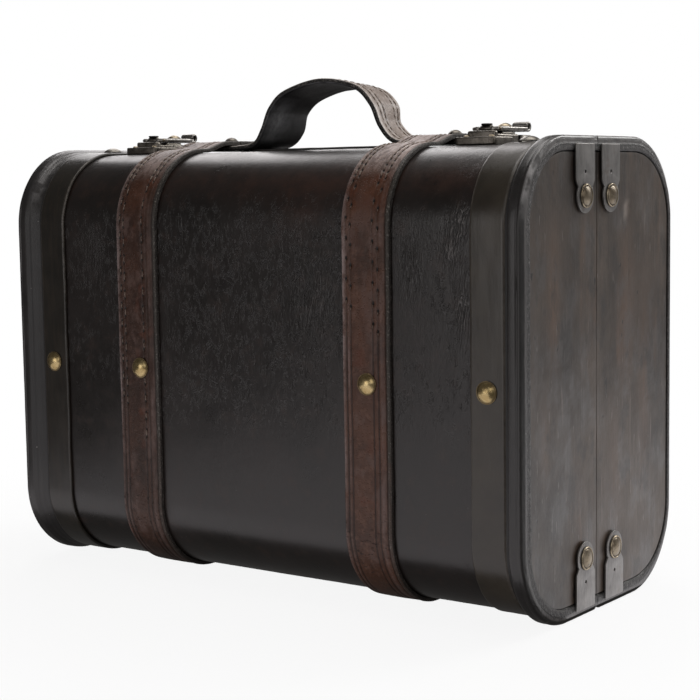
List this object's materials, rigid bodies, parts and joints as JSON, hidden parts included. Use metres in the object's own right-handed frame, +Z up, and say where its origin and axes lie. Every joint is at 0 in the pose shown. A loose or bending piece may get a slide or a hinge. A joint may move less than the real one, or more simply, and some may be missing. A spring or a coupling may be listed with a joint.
{
  "type": "wooden suitcase box",
  "caption": "Rounded wooden suitcase box covered in dark leather, hinged in two halves, with stitched straps, domed nails, metal end straps, latches and a leather handle.",
  "frame": {"origin": "middle of the box's footprint, on the surface it stands on", "axes": "+X along the length towards the right end seen from the front, +Y from the front towards the back, +Z up"},
  "size_m": [0.43, 0.2048, 0.3443],
  "materials": {
    "leather_dark": "dark brown, nearly black, smooth and glossy",
    "leather_band": "smooth dark grey brown, satin",
    "leather_strap": "red brown, grained, satin",
    "wood_panel": "dark stained, satin",
    "cloth_lining": "plain woven brown cloth",
    "brass": "aged, antiqued in the recesses",
    "steel_aged": "darkened, satin",
    "bronze": "antique bronze plating"
  },
  "bodies": {
    "back_half": {"shell_back": "leather_dark", "lining_back": "cloth_lining", "end_board_back_left": "wood_panel", "end_trim_back_left": "leather_band", "strap_back_left": "leather_strap", "end_board_back_right": "wood_panel", "end_trim_back_right": "leather_band", "strap_back_right": "leather_strap", "nail_back_band_left": "brass", "nail_back_strap_left": "brass", "nail_back_strap_right": "brass", "nail_back_band_right": "brass", "end_strap_top_back_left": "steel_aged", "nail_end_top_back_left": "brass", "end_strap_top_back_right": "steel_aged", "nail_end_top_back_right": "brass", "end_strap_bottom_back_left": "steel_aged", "nail_end_bottom_back_left": "brass", "end_strap_bottom_back_right": "steel_aged", "nail_end_bottom_back_right": "brass", "hinge_back_left": "brass", "hinge_back_right": "brass", "handle": "leather_strap", "handle_rivet_left": "brass", "latch_keeper_left": "bronze", "handle_rivet_right": "brass", "latch_keeper_right": "bronze"},
    "front_half": {"shell_front": "leather_dark", "lining_front": "cloth_lining", "end_board_front_left": "wood_panel", "end_trim_front_left": "leather_band", "strap_front_left": "leather_strap", "end_board_front_right": "wood_panel", "end_trim_front_right": "leather_band", "strap_front_right": "leather_strap", "nail_front_band_left": "brass", "nail_front_strap_left": "brass", "nail_front_strap_right": "brass", "nail_front_band_right": "brass", "end_strap_top_front_left": "steel_aged", "nail_end_top_front_left": "brass", "end_strap_top_front_right": "steel_aged", "nail_end_top_front_right": "brass", "end_strap_bottom_front_left": "steel_aged", "nail_end_bottom_front_left": "brass", "end_strap_bottom_front_right": "steel_aged", "nail_end_bottom_front_right": "brass", "hinge_front_left": "brass", "hinge_front_right": "brass", "nail_top_band_left": "brass", "nail_top_band_right": "brass", "latch_base_left": "bronze", "latch_base_right": "bronze"},
    "latch_arm_l": {"latch_arm_left": "bronze", "latch_rivet_left": "brass"},
    "latch_arm_r": {"latch_arm_right": "bronze", "latch_rivet_right": "brass"}
  },
  "joints": [
    {"name": "lid_hinge", "type": "hinge", "parent": "back_half", "child": "front_half", "pos_m": [0, -0.0054, 0.0026], "axis": [1, 0, 0], "range_deg": [0, 105]},
    {"name": "latch_left_hinge", "type": "hinge", "parent": "front_half", "child": "latch_arm_l", "pos_m": [-0.1385, -0.0305, 0.3055], "axis": [1, 0, 0], "range_deg": [0, 125]},
    {"name": "latch_right_hinge", "type": "hinge", "parent": "front_half", "child": "latch_arm_r", "pos_m": [0.145, -0.0305, 0.3055], "axis": [1, 0, 0], "range_deg": [0, 125]}
  ]
}
